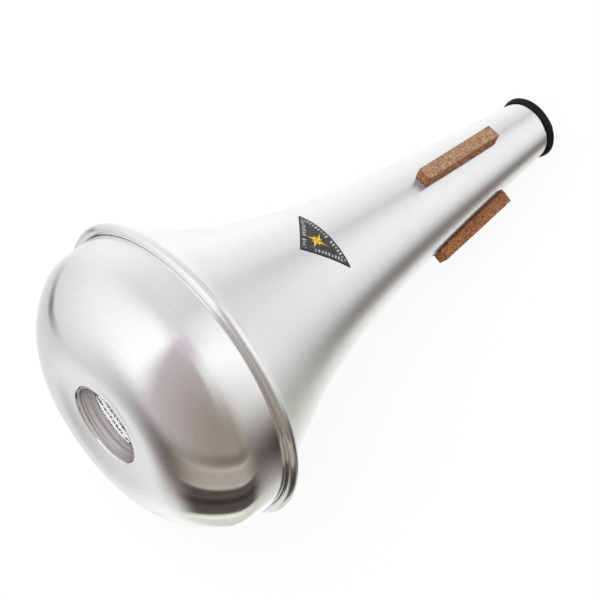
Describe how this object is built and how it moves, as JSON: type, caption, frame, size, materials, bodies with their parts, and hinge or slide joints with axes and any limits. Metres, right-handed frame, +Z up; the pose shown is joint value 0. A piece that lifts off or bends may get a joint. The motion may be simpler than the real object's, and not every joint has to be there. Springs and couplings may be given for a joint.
{
  "type": "bass trombone straight mute",
  "caption": "Spun aluminium straight mute for a bass trombone, with a flared body, a bowl-shaped end with a port, cork strips and a black nose edging, lying on its side.",
  "frame": {"origin": "on the floor, under the middle of the bounding box, with the mute lying on its side", "axes": "+X along the mute from bowl to nose, seen from above; +Z up, on the side of the first cork"},
  "size_m": [0.3274, 0.1696, 0.165],
  "materials": {
    "body_aluminium": "spun, satin with fine turning lines",
    "bowl_aluminium": "spun, satin with fine turning lines",
    "collar_aluminium": "turned, fine grooves",
    "edging": "matte",
    "cork": "granulated cork, cut and sanded",
    "badge_print": "printed foil",
    "label_paper": "matte paper"
  },
  "bodies": {
    "root": {"body_shell": "body_aluminium", "end_cap": "bowl_aluminium", "port_collar": "collar_aluminium", "nose_trim": "edging", "cork_strip_1": "cork", "cork_strip_2": "cork", "cork_strip_3": "cork", "badge": "badge_print", "inner_label": "label_paper"}
  },
  "joints": []
}
